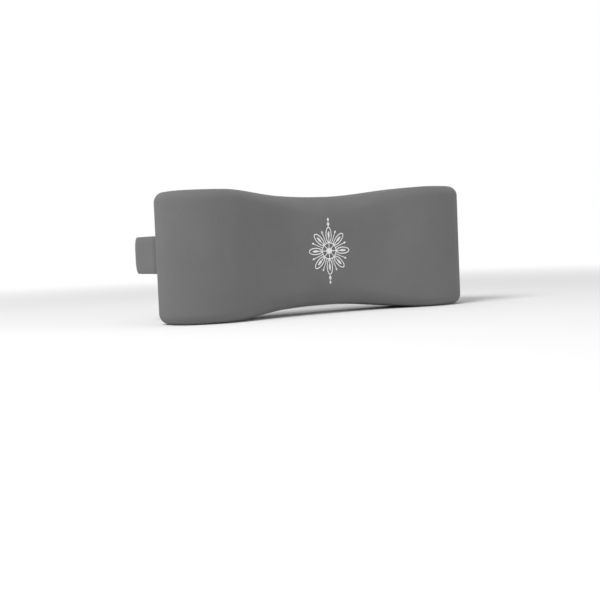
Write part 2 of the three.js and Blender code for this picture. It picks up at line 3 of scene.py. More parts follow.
import bmesh
import bpy
import numpy as np
from mathutils import Matrix, Vector
from mathutils.bvhtree import BVHTree
from mathutils.kdtree import KDTree


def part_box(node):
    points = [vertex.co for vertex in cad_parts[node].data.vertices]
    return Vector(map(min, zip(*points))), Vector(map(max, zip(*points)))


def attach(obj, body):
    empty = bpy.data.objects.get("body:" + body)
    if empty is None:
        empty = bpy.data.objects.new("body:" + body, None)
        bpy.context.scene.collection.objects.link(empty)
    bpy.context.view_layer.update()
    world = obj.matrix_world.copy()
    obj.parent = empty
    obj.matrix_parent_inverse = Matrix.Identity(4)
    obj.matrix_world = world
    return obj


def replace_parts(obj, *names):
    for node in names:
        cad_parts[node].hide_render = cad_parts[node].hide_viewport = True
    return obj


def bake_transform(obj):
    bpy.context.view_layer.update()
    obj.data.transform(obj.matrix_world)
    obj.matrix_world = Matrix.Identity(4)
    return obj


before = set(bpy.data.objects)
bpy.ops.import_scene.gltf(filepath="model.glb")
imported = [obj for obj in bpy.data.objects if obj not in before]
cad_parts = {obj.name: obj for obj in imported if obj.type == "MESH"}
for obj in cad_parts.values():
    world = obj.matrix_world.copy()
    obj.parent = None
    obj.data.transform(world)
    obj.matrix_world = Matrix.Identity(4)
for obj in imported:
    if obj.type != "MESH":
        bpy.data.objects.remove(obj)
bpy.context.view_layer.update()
scene = bpy.context.scene
scene.view_settings.view_transform = "Standard"

# Camera
# It stands before the pillow's left end, just above its middle, and is tipped a little to one side.
# The turn, the drop and the distances come from the pillow's outline in the photograph.
cover_low, cover_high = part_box("cover_front")
back_y = cover_high.y
middle_z = (cover_low.z + cover_high.z) / 2
camera_turn = math.radians(31.0)
camera_drop = math.radians(2.94)
camera_roll = math.radians(-2.47)
camera_distance = 1.0082
pillow_across = 0.004365
pillow_above = 0.043826
photo_width_px = 600
focal_length_px = 1113.9
look = Vector((
    math.sin(camera_turn) * math.cos(camera_drop),
    math.cos(camera_turn) * math.cos(camera_drop),
    -math.sin(camera_drop),
))
level_right = Vector((math.cos(camera_turn), -math.sin(camera_turn), 0))
level_up = level_right.cross(look)
view_right = math.cos(camera_roll) * level_right + math.sin(camera_roll) * level_up
view_up = math.cos(camera_roll) * level_up - math.sin(camera_roll) * level_right
back_middle = Vector((0, back_y, middle_z))
stand = back_middle - look * camera_distance - view_right * pillow_across - view_up * pillow_above
camera_data = bpy.data.cameras.new("camera")
camera_data.sensor_width = 36
camera_data.lens = camera_data.sensor_width * focal_length_px / photo_width_px
camera_data.clip_start = 0.05
camera_data.clip_end = 40
camera = bpy.data.objects.new("camera", camera_data)
camera.matrix_world = Matrix.Translation(stand) @ Matrix((view_right, view_up, -look)).transposed().to_4x4()
scene.collection.objects.link(camera)
scene.camera = camera

# Studio
# A pale floor that runs out into plain white, under broad soft lamps from the left and from above, a
# weaker one low at the right, and an even white surround.
floor_half = 6.0
floor_grey = (0.9, 0.9, 0.9, 1)
plain_white = (1, 1, 1, 1)
fade_from = 0.35
fade_to = 1.3
surround_strength = 0.36
lamp_target = (0, 0, 0.05)
square = ((-1, -1), (1, -1), (1, 1), (-1, 1))


def link(obj):
    scene.collection.objects.link(obj)
    return obj


def mesh_object(name, vertices, faces):
    """A mesh object at the origin, with smooth faces."""
    mesh = bpy.data.meshes.new(name)
    mesh.from_pydata([tuple(v) for v in vertices], [], [tuple(f) for f in faces])
    mesh.validate()
    mesh.polygons.foreach_set("use_smooth", [True] * len(mesh.polygons))
    return link(bpy.data.objects.new(name, mesh))


def feed(node, inputs):
    """Sets a node's inputs. Each is a value, or a pair of another node and that node's output."""
    for name, value in inputs.items():
        if isinstance(value, tuple) and isinstance(value[0], bpy.types.Node):
            node.id_data.links.new(value[0].outputs[value[1]], node.inputs[name])
        else:
            node.inputs[name].default_value = value


def new_node(tree, kind, inputs=None, **settings):
    """A new node of a tree, with its settings and then its inputs."""
    node = tree.nodes.new(kind)
    for name, value in settings.items():
        setattr(node, name, value)
    feed(node, inputs or {})
    return node


def own_place(tree):
    """A point's place in its object's own coordinates."""
    return new_node(tree, "ShaderNodeTexCoord"), "Object"


def new_material(name):
    """A node material, with its tree and its Principled shader."""
    material = bpy.data.materials.new(name)
    material.use_nodes = True
    return material, material.node_tree, material.node_tree.nodes["Principled BSDF"]


def seen_or_mirrored(tree):
    """1 for the rays of the camera, of a gloss and through glass, else 0."""
    rays = new_node(tree, "ShaderNodeLightPath")
    total = new_node(tree, "ShaderNodeMath", {0: (rays, "Is Camera Ray"), 1: (rays, "Is Glossy Ray")},
                     use_clamp=True)
    more = new_node(tree, "ShaderNodeMath", {0: (total, 0), 1: (rays, "Is Transmission Ray")},
                    use_clamp=True)
    return more, 0


floor_material, tree, shader = new_material("studio_floor")
feed(shader, {"Base Color": floor_grey, "Roughness": 0.9, "Specular IOR Level": 0.1})
distance = new_node(tree, "ShaderNodeVectorMath", {0: own_place(tree)}, operation="LENGTH")
fade = new_node(tree, "ShaderNodeMapRange", {
    "Value": (distance, "Value"),
    "From Min": fade_from,
    "From Max": fade_to,
}, interpolation_type="SMOOTHSTEP")
share = new_node(tree, "ShaderNodeMath", {0: seen_or_mirrored(tree), 1: (fade, "Result")},
                 operation="MULTIPLY")
white = new_node(tree, "ShaderNodeEmission", {"Color": plain_white, "Strength": 1.0})
blend = new_node(tree, "ShaderNodeMixShader", {0: (share, 0), 1: (shader, "BSDF"), 2: (white, "Emission")})
feed(tree.nodes["Material Output"], {"Surface": (blend, 0)})
studio_floor = mesh_object("studio_floor", [(x * floor_half, y * floor_half, 0) for x, y in square],
                           [(0, 1, 2, 3)])
studio_floor.data.materials.append(floor_material)


def soft_lamp(name, place, size, power):
    lamp = bpy.data.lights.new(name, "AREA")
    lamp.shape = "DISK"
    lamp.size = size
    lamp.energy = power
    obj = link(bpy.data.objects.new(name, lamp))
    obj.location = place
    obj.rotation_euler = (Vector(lamp_target) - Vector(place)).to_track_quat("-Z", "Y").to_euler()


soft_lamp("key_lamp", (-1.2, -0.5, 1.5), size=1.0, power=28)
soft_lamp("top_lamp", (0, 0.1, 1.5), size=1.0, power=2.5)
soft_lamp("fill_lamp", (1.4, -1.5, 0.35), size=1.2, power=10)

world = bpy.data.worlds.new("surround")
scene.world = world
world.use_nodes = True
tree = world.node_tree
surround = tree.nodes["Background"]
feed(surround, {"Color": plain_white, "Strength": surround_strength})
seen = new_node(tree, "ShaderNodeBackground", {"Color": plain_white, "Strength": 1.0})
world_mix = new_node(tree, "ShaderNodeMixShader", {0: seen_or_mirrored(tree), 1: (surround, 0), 2: (seen, 0)})
feed(tree.nodes["World Output"], {"Surface": (world_mix, 0)})

# Foam core
# One moulded block of open-celled foam that fills the cover. Its cells are small and uneven, and their
# hollows are painted darker than their walls, as shade.
foam_cream = (0.80, 0.75, 0.56, 1)
foam_shadow = (0.62, 0.56, 0.38, 1)
foam_cells_per_metre = 900
foam_relief = 0.0003
foam, tree, shader = new_material("foam")
cells = new_node(tree, "ShaderNodeTexVoronoi", {"Vector": own_place(tree), "Scale": foam_cells_per_metre})
from_middle = (cells, "Distance")
# Painted shade: the hollows take the darker foam_shadow, and the raised walls take the paler foam_cream.
tint = new_node(tree, "ShaderNodeMix", {"Factor": from_middle, "A": foam_shadow, "B": foam_cream},
                data_type="RGBA")
bump = new_node(tree, "ShaderNodeBump", {"Distance": foam_relief, "Height": from_middle})
feed(shader, {"Base Color": (tint, "Result"), "Roughness": 0.95, "Normal": (bump, "Normal")})


def finish_node(node, material):
    """Gives a CAD node's own object a material."""
    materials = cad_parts[node].data.materials
    materials.clear()
    materials.append(material)


finish_node("foam_core", foam)

# Cover, front wrap
# One piece of smooth grey knit goes over the front, the top, the underside and both ends of the foam,
# with no seam in sight, and is sewn to the back panel in a seam that runs round the flat of the back.
pillow_width = cover_high.x - cover_low.x
end_height = cover_high.z - cover_low.z
end_depth = cover_high.y - cover_low.y
waist_height = 0.0966
waist_depth = 0.040
hollow_reach = 0.107
arch_reach = 0.1035
hollow_power = 1.8
arch_power = 1.25
end_roundness = 2.2
end_flat_from = 0.023
edge_radius = 0.009
waist_edge_radius = 0.016
back_corner_radius = 0.012
seam_inset = 0.002
panel_corner_radius = 0.008
cover_wall = 0.002
hollow_steps = 44
end_steps = 26
back_corner_steps = 10
rounding_steps = 10
wall_steps = 26
cap_steps = 10
fabric_grey = (0.152, 0.152, 0.153, 1)
knit_loops_per_metre = 1300
knit_relief = 0.00012


def eased(t):
    return t * t * (3 - 2 * t)


def half_height(x):
    share = eased(np.minimum(np.abs(x) / arch_reach, 1) ** arch_power)
    return (waist_height + (end_height - waist_height) * share) / 2


def front_chain():
    """The front's right half seen from above: x, y, inward direction and edge radius at each point."""
    x = np.linspace(0, hollow_reach, hollow_steps + 1)

    def depth(at):
        return waist_depth + (end_depth - waist_depth) * eased((np.abs(at) / hollow_reach) ** hollow_power)

    step = 1e-4
    slope = (depth(np.minimum(x + step, hollow_reach)) - depth(x - step)) / (2 * step)
    slope[0] = 0
    slope[-1] = 0
    size = np.hypot(slope, 1)
    hollow = np.stack([x, back_y - depth(x), slope / size, 1 / size], 1)
    angle = np.linspace(0, math.pi / 2, end_steps + 1)[1:]
    across = pillow_width / 2 - hollow_reach
    deep = end_depth - end_flat_from
    s = np.sin(angle) ** (2 / end_roundness)
    c = np.maximum(np.cos(angle), 0) ** (2 / end_roundness)
    c[-1] = 0
    toward = np.stack([-s ** (end_roundness - 1) / across, c ** (end_roundness - 1) / deep], 1)
    toward /= np.linalg.norm(toward, axis=1, keepdims=True)
    end_x = hollow_reach + across * s
    end_y = back_y - end_flat_from - deep * c
    end = np.stack([end_x, end_y, toward[:, 0], toward[:, 1]], 1)
    chain = np.concatenate([hollow, end])
    share = eased(np.minimum(chain[:, 0] / arch_reach, 1))
    radius = waist_edge_radius + (edge_radius - waist_edge_radius) * share
    return np.concatenate([chain, radius[:, None]], 1)


def back_chain():
    """The back's right half seen from above, in the same form and with as many points."""
    corner_x = pillow_width / 2 - back_corner_radius
    straight = end_steps - back_corner_steps
    x = np.concatenate([
        np.linspace(0, hollow_reach, hollow_steps + 1),
        np.linspace(hollow_reach, corner_x, straight + 1)[1:],
    ])
    flat = np.stack([x, np.full_like(x, back_y), np.zeros_like(x), -np.ones_like(x)], 1)
    angle = math.pi / 2 * (1 - np.linspace(0, 1, back_corner_steps + 1)[1:])
    corner = np.stack([
        corner_x + back_corner_radius * np.cos(angle),
        back_y - back_corner_radius + back_corner_radius * np.sin(angle),
        -np.cos(angle),
        -np.sin(angle),
    ], 1)
    chain = np.concatenate([flat, corner])
    return np.concatenate([chain, np.full((len(chain), 1), edge_radius)], 1)


def mirrored(chain):
    return chain * np.array([-1, 1, -1, 1, 1])


def pillow_form():
    """The whole pillow as one closed form: vertices and faces, with fine rows over walls and edges."""
    front, back = front_chain(), back_chain()
    rungs = len(front) - 1
    outline = np.concatenate([front, back[::-1], mirrored(back[1:]), mirrored(front[1:][::-1])])
    count = len(outline)
    x, y, in_x, in_y, radius = outline.T
    height = half_height(x)
    angles = [math.pi / 2 * step / rounding_steps for step in range(rounding_steps, 0, -1)]
    levels = [(angle, -1, 1.0) for angle in angles]
    levels += [(0.0, 1, share) for share in np.linspace(-1, 1, wall_steps + 1)]
    levels += [(angle, 1, 1.0) for angle in reversed(angles)]
    rings = []
    for angle, side, share in levels:
        inset = radius * (1 - math.cos(angle))
        z = (height - radius * (1 - math.sin(angle))) * side * share
        rings.append(np.stack([x + in_x * inset, y + in_y * inset, middle_z + z], 1))
    vertices = list(np.concatenate(rings))
    faces = []
    for ring in range(len(rings) - 1):
        for i in range(count):
            j = (i + 1) % count
            faces.append((ring * count + i, ring * count + j, (ring + 1) * count + j, (ring + 1) * count + i))
    for start, upward in ((0, False), ((len(rings) - 1) * count, True)):
        front_ids = [start + (count - i) % count for i in range(rungs, 0, -1)]
        front_ids += [start + i for i in range(rungs + 1)]
        back_ids = [start + 2 * rungs + 1 + i for i in range(rungs, 0, -1)]
        back_ids += [start + 2 * rungs + 1 - i for i in range(rungs + 1)]
        grid = [front_ids]
        for row in range(1, cap_steps):
            share = row / cap_steps
            ids = []
            for a, b in zip(front_ids, back_ids):
                ids.append(len(vertices))
                vertices.append(vertices[a] * (1 - share) + vertices[b] * share)
            grid.append(ids)
        grid.append(back_ids)
        for near, away in zip(grid, grid[1:]):
            for i in range(len(near) - 1):
                face = (near[i], near[i + 1], away[i + 1], away[i])
                faces.append(face if upward else face[::-1])
    return vertices, faces


form_vertices, form_faces = pillow_form()
cover = mesh_object("cover_wrap", form_vertices, form_faces)

# The knit's tension
# The wrap is drawn tight over its foam. A short cloth simulation under a light pressure finds where it
# stands proud and where it is held in, and that difference is laid over the finely drawn form.
sim_voxel = 0.005
sim_frames = 20
sim_pressure = 4
sim_stretch_stiffness = 40
sim_bending_stiffness = 8
most_swelling = 0.0009
held_behind = 0.004
free_from = 0.018
neighbours = 8


def apply_modifiers(obj):
    """Puts what an object's modifiers make into its mesh."""
    depsgraph = bpy.context.evaluated_depsgraph_get()
    mesh = bpy.data.meshes.new_from_object(obj.evaluated_get(depsgraph))
    obj.modifiers.clear()
    obj.data = mesh


def cloth_swelling(source):
    """Points of a coarse copy of source, and how far outwards cloth under pressure moves each of them."""
    copy = link(bpy.data.objects.new("cloth_copy", source.data.copy()))
    remesh = copy.modifiers.new("remesh", "REMESH")
    remesh.mode = "VOXEL"
    remesh.voxel_size = sim_voxel
    apply_modifiers(copy)
    rest = np.array([v.co for v in copy.data.vertices])
    outward = np.array([v.normal for v in copy.data.vertices])
    sewn = copy.vertex_groups.new(name="sewn")
    for i in np.flatnonzero(rest[:, 1] > back_y - held_behind):
        sewn.add([int(i)], 1.0, "REPLACE")
    cloth = copy.modifiers.new("cloth", "CLOTH")
    cloth.settings.use_pressure = True
    cloth.settings.uniform_pressure_force = sim_pressure
    cloth.settings.effector_weights.gravity = 0
    cloth.settings.vertex_group_mass = "sewn"
    cloth.settings.tension_stiffness = sim_stretch_stiffness
    cloth.settings.compression_stiffness = sim_stretch_stiffness
    cloth.settings.bending_stiffness = sim_bending_stiffness
    cloth.point_cache.frame_start = 1
    cloth.point_cache.frame_end = sim_frames
    for number in range(1, sim_frames + 1):
        scene.frame_set(number)
    depsgraph = bpy.context.evaluated_depsgraph_get()
    moved = np.array([v.co for v in copy.evaluated_get(depsgraph).data.vertices])
    scene.frame_set(1)
    bpy.data.objects.remove(copy)
    return rest, ((moved - rest) * outward).sum(1)


def lay_swelling(target, rest, swelling):
    """Moves target's points in or out, as the cloth near them swells less or more than most of it does."""
    relative = np.clip(swelling - np.median(swelling), -most_swelling, most_swelling)
    tree = KDTree(len(rest))
    for i, point in enumerate(rest):
        tree.insert(point, i)
    tree.balance()
    normals = [v.normal.copy() for v in target.data.vertices]
    for vertex, normal in zip(target.data.vertices, normals):
        loose = min(max((back_y - held_behind - vertex.co.y) / (free_from - held_behind), 0), 1)
        if loose == 0:
            continue
        found = tree.find_n(vertex.co, neighbours)
        weights = np.array([1 / (distance + sim_voxel / 10) for _, _, distance in found])
        move = (relative[[index for _, index, _ in found]] * weights).sum() / weights.sum()
        vertex.co += normal * float(move * eased(loose))
        vertex.co.z = max(vertex.co.z, cover_low.z)


lay_swelling(cover, *cloth_swelling(cover))

# The seam round the back
# The flat of the back is cut out of the wrap. Its edge is turned in, and ends in a shallow pocket where
# the two back panels lie.
hem_roll = 0.0015
pocket_depth = 0.0022
roll_steps = 5
seam_corner_steps = 8
seam_edge_steps = 90


def panel_outline(margin):
    """Points round the back panel, anticlockwise from its right top corner: x and z from the middle."""
    half_length = pillow_width / 2 - back_corner_radius - margin
    radius = panel_corner_radius + seam_inset - margin
    corner_x = half_length - radius
    corner_z = float(half_height(half_length)) - edge_radius - margin - radius

    def corner(sign_x, sign_z, start):
        angles = start + np.linspace(0, math.pi / 2, seam_corner_steps + 1)
        centre_x, centre_z = sign_x * corner_x, sign_z * corner_z
        return [(centre_x + radius * math.cos(a), centre_z + radius * math.sin(a)) for a in angles]

    across = np.linspace(corner_x, -corner_x, seam_edge_steps + 1)[1:-1]
    edge = [(x, float(half_height(x)) - edge_radius - margin) for x in across]
    points = corner(1, 1, 0) + edge + corner(-1, 1, math.pi / 2) + corner(-1, -1, math.pi)
    points += [(-x, -z) for x, z in edge] + corner(1, -1, math.pi * 1.5)
    return points


shell = bmesh.new()
shell.from_mesh(cover.data)
bmesh.ops.remove_doubles(shell, verts=shell.verts, dist=1e-6)
tolerance = 1e-5
flat_reach = pillow_width / 2 - back_corner_radius + tolerance
flat_back = [
    face for face in shell.faces
    if all(abs(v.co.y - back_y) < tolerance and abs(v.co.x) < flat_reach for v in face.verts)
    and all(abs(v.co.z - middle_z) < half_height(v.co.x) - edge_radius + tolerance for v in face.verts)
]
bmesh.ops.delete(shell, geom=flat_back, context="FACES")
rim = [edge for edge in shell.edges if edge.is_boundary]


def add_loop(mesh, points, y):
    """A closed loop of edges through points of x and z at one y."""
    corners = [mesh.verts.new((x, y, middle_z + z)) for x, z in points]
    edges = [mesh.edges.new((corners[i - 1], corners[i])) for i in range(len(corners))]
    return corners, edges


def join_loops(mesh, first, second):
    for i in range(len(first)):
        mesh.faces.new((first[i - 1], first[i], second[i], second[i - 1]))


hem_loops = []
for step in range(roll_steps + 1):
    angle = math.pi / 2 * step / roll_steps
    margin = seam_inset - hem_roll * (1 - math.sin(angle))
    hem_loops.append(add_loop(shell, panel_outline(margin), back_y - hem_roll * (1 - math.cos(angle))))
hem_loops.append(add_loop(shell, panel_outline(seam_inset), back_y - pocket_depth))
bmesh.ops.triangle_fill(shell, edges=rim + hem_loops[0][1], use_beauty=True, normal=(0, 1, 0))
for (first, _), (second, _) in zip(hem_loops, hem_loops[1:]):
    join_loops(shell, first, second)
shell.faces.new(hem_loops[-1][0])
bmesh.ops.recalc_face_normals(shell, faces=shell.faces)
for face in shell.faces:
    face.smooth = True
shell.to_mesh(cover.data)
shell.free()


def new_group(name, kind, inputs, outputs):
    """A node tree with sockets, given as names and types, and the nodes at its start and end."""
    tree = bpy.data.node_groups.new(name, kind)
    for in_out, sockets in (("INPUT", inputs), ("OUTPUT", outputs)):
        for socket, socket_type in sockets.items():
            tree.interface.new_socket(socket, in_out=in_out, socket_type="NodeSocket" + socket_type)
    return tree, new_node(tree, "NodeGroupInput"), new_node(tree, "NodeGroupOutput")


def remapped(tree, value, low, high, to_low, to_high):
    """A value between low and high, brought between to_low and to_high."""
    return new_node(tree, "ShaderNodeMapRange", {
        "Value": value,
        "From Min": low,
        "From Max": high,
        "To Min": to_low,
        "To Max": to_high,
    }), "Result"


def fabric_stipple():
    """Node group: the fine grain of a smooth knit, as a height and as a value that varies a little."""
    tree, start, end = new_group("knit_grain", "ShaderNodeTree",
                                 {"Vector": "Vector", "Loops per metre": "Float"},
                                 {"Height": "Float", "Shade": "Float"})
    point, density = (start, "Vector"), (start, "Loops per metre")
    loops = new_node(tree, "ShaderNodeTexVoronoi", {"Vector": point, "Scale": density}, feature="SMOOTH_F1")
    fuzz_scale = new_node(tree, "ShaderNodeMath", {0: density, 1: 2.3}, operation="MULTIPLY")
    fuzz = new_node(tree, "ShaderNodeTexNoise", {"Vector": point, "Scale": (fuzz_scale, 0), "Detail": 3})
    patches = new_node(tree, "ShaderNodeTexNoise", {"Vector": point, "Scale": 24, "Detail": 2})
    total = new_node(tree, "ShaderNodeMath", {0: (fuzz, "Fac"), 1: 0.5, 2: (loops, "Distance")},
                     operation="MULTIPLY_ADD")
    both = new_node(tree, "ShaderNodeMath", {
        0: remapped(tree, (patches, "Fac"), 0.3, 0.7, 0.96, 1.04),
        1: remapped(tree, (loops, "Distance"), 0.0, 0.8, 1.05, 0.93),
    }, operation="MULTIPLY")
    feed(end, {"Height": (total, 0), "Shade": (both, 0)})
    return tree


def textured(tree, shader, colour, relief, texture, shade=None):
    """Gives a shader a colour and a bump from a texture's "Shade" and "Height", or from two outputs."""
    tint = new_node(tree, "ShaderNodeMix", {"Factor": 1, "A": colour, "B": shade or (texture, "Shade")},
                    data_type="RGBA", blend_type="MULTIPLY")
    height = "Fac" if shade else "Height"
    bump = new_node(tree, "ShaderNodeBump", {"Distance": relief, "Height": (texture, height)})
    feed(shader, {"Base Color": (tint, "Result"), "Normal": (bump, "Normal")})


cover_knit, tree, shader = new_material("cover_knit")
grain = new_node(tree, "ShaderNodeGroup", {
    "Vector": own_place(tree),
    "Loops per metre": knit_loops_per_metre,
}, node_tree=fabric_stipple())
textured(tree, shader, fabric_grey, knit_relief, grain)
feed(shader, {"Roughness": 0.92, "Specular IOR Level": 0.25, "Sheen Weight": 0.12, "Sheen Roughness": 0.45})
cover.data.materials.append(cover_knit)
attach(cover, "pillow")
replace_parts(cover, "cover_front")

# Back panels
# Two flat pieces of the same knit, above and below the zip. Their edges are turned under, so they roll
# into the seam and along the zip, and beyond the zip's ends the two are sewn edge to edge.
zip_z = 0.030 - middle_z
zip_half_length = 0.110
zip_slot_half = 0.0035
zip_slot_end = zip_half_length + 0.0036
sewing_gap = 0.0003
panel_roll = 0.0013
slot_ease = 0.003
zip_line_steps = 120


def zip_edge(side):
    """The panel's edge along the zip, from left to right. It closes in beyond the zip's ends."""
    reach = pillow_width / 2 - back_corner_radius - seam_inset - sewing_gap / 2
    points = []
    for x in np.linspace(-reach, reach, zip_line_steps + 1):
        closed = eased(min(max((abs(x) - zip_slot_end) / slot_ease, 0), 1))
        points.append((x, zip_z + side * (zip_slot_half + (sewing_gap / 2 - zip_slot_half) * closed)))
    return points


def drawn_in(points, amount):
    """A closed loop moved inwards by an amount, anticlockwise loops only."""
    loop = np.array(points)
    along = np.roll(loop, -1, 0) - np.roll(loop, 1, 0)
    along /= np.linalg.norm(along, axis=1, keepdims=True)
    return loop + np.stack([-along[:, 1], along[:, 0]], 1) * amount


def bmesh_object(name, mesh, material):
    """An object with a bmesh's faces, in one material."""
    data = bpy.data.meshes.new(name)
    mesh.to_mesh(data)
    mesh.free()
    data.materials.append(material)
    return link(bpy.data.objects.new(name, data))


def back_panel(name, side):
    edge = zip_edge(side)
    whole = panel_outline(seam_inset + sewing_gap / 2)
    outline = [p for p in whole if side * (p[1] - zip_z) > 2 * zip_slot_half]
    if side > 0:
        points = outline + edge
    else:
        left_first = sorted(outline, key=lambda p: math.atan2(p[1], p[0]) % (2 * math.pi))
        points = left_first + edge[::-1]
    mesh = bmesh.new()
    loops = [add_loop(mesh, drawn_in(points, 0), back_y - cover_wall)[0]]
    for step in range(roll_steps, -1, -1):
        angle = math.pi / 2 * step / roll_steps
        inward = panel_roll * (1 - math.sin(angle))
        loops.append(add_loop(mesh, drawn_in(points, inward), back_y - panel_roll * (1 - math.cos(angle)))[0])
    for first, second in zip(loops, loops[1:]):
        join_loops(mesh, first, second)
    mesh.faces.new(loops[0])
    mesh.faces.new(loops[-1])
    bmesh.ops.recalc_face_normals(mesh, faces=mesh.faces)
    for face in mesh.faces:
        face.smooth = len(face.verts) == 4
    obj = bmesh_object(name, mesh, cover_knit)
    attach(obj, "pillow")
    return obj


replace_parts(back_panel("panel_above_zip", 1), "cover_back_upper")
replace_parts(back_panel("panel_below_zip", -1), "cover_back_lower")

# Zip
# Two woven tapes are sewn behind the back panels' edges. Each carries a cord with moulded teeth on it,
# and dark lacquered stops are pressed on at both ends.
tape_black = (0.045, 0.045, 0.045, 1)
tooth_black = (0.03, 0.03, 0.03, 1)
lacquer_black = (0.07, 0.07, 0.07, 1)
tooth_pitch = 0.004
tooth_width = 0.0016
cord_radius = 0.0006


def weave():
    """Node group: threads that cross over and under, as a height and as painted shade where they dip under.
    """
    tree, start, end = new_group("weave", "ShaderNodeTree",
                                 {"Along": "Float", "Across": "Float", "Threads per metre": "Float"},
                                 {"Height": "Float", "Shade": "Float"})

    def step(operation, *inputs):
        return new_node(tree, "ShaderNodeMath", dict(enumerate(inputs)), operation=operation), 0

    along = step("MULTIPLY", (start, "Along"), (start, "Threads per metre"))
    across = step("MULTIPLY", (start, "Across"), (start, "Threads per metre"))
    column = step("FLOOR", across)
    phase = step("ADD", step("MULTIPLY", along, math.pi), step("MULTIPLY", column, math.pi / 2))
    over = step("ABSOLUTE", step("SINE", phase))
    crown = step("ABSOLUTE", step("SINE", step("MULTIPLY", across, math.pi)))
    height = step("MULTIPLY", over, crown)
    # Painted shade: the colour falls with the height, down to 0.75 where the threads dip under.
    feed(end, {"Height": height, "Shade": step("MULTIPLY_ADD", height, 0.35, 0.75)})
    return tree


weave_group = weave()


def woven_material(name, colour, threads_per_metre, relief, from_uv):
    """A matt woven cloth. Its threads follow the piece's own UV map, or lie along X and Z."""
    material, tree, shader = new_material(name)
    if from_uv:
        place = (new_node(tree, "ShaderNodeUVMap", uv_map="along_across"), "UV")
    else:
        place = own_place(tree)
    split = new_node(tree, "ShaderNodeSeparateXYZ", {0: place})
    threads = new_node(tree, "ShaderNodeGroup", {
        "Along": (split, "X"),
        "Across": (split, "Y" if from_uv else "Z"),
        "Threads per metre": threads_per_metre,
    }, node_tree=weave_group)
    textured(tree, shader, colour, relief, threads)
    feed(shader, {"Roughness": 0.88, "Specular IOR Level": 0.25, "Sheen Weight": 0.1})
    return material


tape_weave = woven_material("tape_weave", tape_black, threads_per_metre=1600, relief=0.0001, from_uv=False)
finish_node("zip_tape_upper", tape_weave)
finish_node("zip_tape_lower", tape_weave)


def moulding_grain():
    """Node group: the fine grain of a moulded or lacquered surface, with a little change of gloss."""
    tree, start, end = new_group("moulding_grain", "ShaderNodeTree",
                                 {"Vector": "Vector", "Grains per metre": "Float", "Roughness": "Float"},
                                 {"Height": "Float", "Roughness": "Float", "Shade": "Float"})
    point, density = (start, "Vector"), (start, "Grains per metre")
    grain = new_node(tree, "ShaderNodeTexNoise", {"Vector": point, "Scale": density, "Detail": 4})
    smear = new_node(tree, "ShaderNodeTexNoise", {"Vector": point, "Scale": 60})
    change = remapped(tree, (smear, "Fac"), 0, 1, -0.08, 0.08)
    roughness = new_node(tree, "ShaderNodeMath", {0: change, 1: (start, "Roughness")})
    shade = remapped(tree, (smear, "Fac"), 0, 1, 0.8, 1.2)
    feed(end, {"Height": (grain, "Fac"), "Roughness": (roughness, 0), "Shade": shade})
    return tree


grain_group = moulding_grain()


def moulded_material(name, colour, roughness, metallic, grains_per_metre, relief):
    material, tree, shader = new_material(name)
    grain = new_node(tree, "ShaderNodeGroup", {
        "Vector": own_place(tree),
        "Grains per metre": grains_per_metre,
        "Roughness": roughness,
    }, node_tree=grain_group)
    textured(tree, shader, colour, relief, grain)
    feed(shader, {"Roughness": (grain, "Roughness"), "Metallic": metallic})
    return material


tooth_nylon = moulded_material("tooth_nylon", tooth_black, roughness=0.45, metallic=0.0,
                               grains_per_metre=3000, relief=0.00003)
dark_lacquer = moulded_material("dark_lacquer", lacquer_black, roughness=0.35, metallic=0.7,
                                grains_per_metre=1500, relief=0.00002)


def grown(name, source, tree, values):
    """What a Geometry Nodes tree makes of a source mesh, as a plain mesh object."""
    obj = link(bpy.data.objects.new(name, source))
    modifier = obj.modifiers.new(name, "NODES")
    modifier.node_group = tree
    for item in tree.interface.items_tree:
        if item.in_out == "INPUT" and item.name in values:
            modifier[item.identifier] = values[item.name]
    apply_modifiers(obj)
    return obj


def finish_tree(tree, end, geometry, material):
    """The end of a Geometry Nodes tree: its instances made real, smooth and in one material."""
    real = new_node(tree, "GeometryNodeRealizeInstances", {0: geometry})
    smooth = new_node(tree, "GeometryNodeSetShadeSmooth", {"Geometry": (real, 0)})
    finish = new_node(tree, "GeometryNodeSetMaterial", {"Geometry": (smooth, 0), "Material": material})
    feed(end, {0: (finish, 0)})


def teeth_tree():
    """Geometry Nodes tree: a cord with teeth on it at an even pitch, from a start point along X."""
    tree, start, end = new_group("zip_teeth_row", "GeometryNodeTree", {
        "Geometry": "Geometry",
        "Count": "Int",
        "Pitch": "Float",
        "First tooth": "Vector",
        "Tooth size": "Vector",
        "Cord start": "Vector",
        "Cord end": "Vector",
        "Cord radius": "Float",
        "Nylon": "Material",
    }, {"Geometry": "Geometry"})
    offset = new_node(tree, "ShaderNodeCombineXYZ", {"X": (start, "Pitch")})
    line = new_node(tree, "GeometryNodeMeshLine", {
        "Count": (start, "Count"),
        "Start Location": (start, "First tooth"),
        "Offset": (offset, 0),
    })
    tooth = new_node(tree, "GeometryNodeMeshCube", {"Size": (start, "Tooth size")})
    rounded = new_node(tree, "GeometryNodeSubdivisionSurface",
                       {"Mesh": (tooth, "Mesh"), "Level": 2, "Edge Crease": 0.55})
    row = new_node(tree, "GeometryNodeInstanceOnPoints",
                   {"Points": (line, "Mesh"), "Instance": (rounded, "Mesh")})
    cord = new_node(tree, "GeometryNodeCurvePrimitiveLine",
                    {"Start": (start, "Cord start"), "End": (start, "Cord end")})
    circle = new_node(tree, "GeometryNodeCurvePrimitiveCircle",
                      {"Resolution": 10, "Radius": (start, "Cord radius")})
    tube = new_node(tree, "GeometryNodeCurveToMesh",
                    {"Curve": (cord, "Curve"), "Profile Curve": (circle, "Curve"), "Fill Caps": True})
    both = new_node(tree, "GeometryNodeJoinGeometry", {0: (row, "Instances")})
    feed(both, {0: (tube, "Mesh")})
    finish_tree(tree, end, (both, 0), (start, "Nylon"))
    return tree


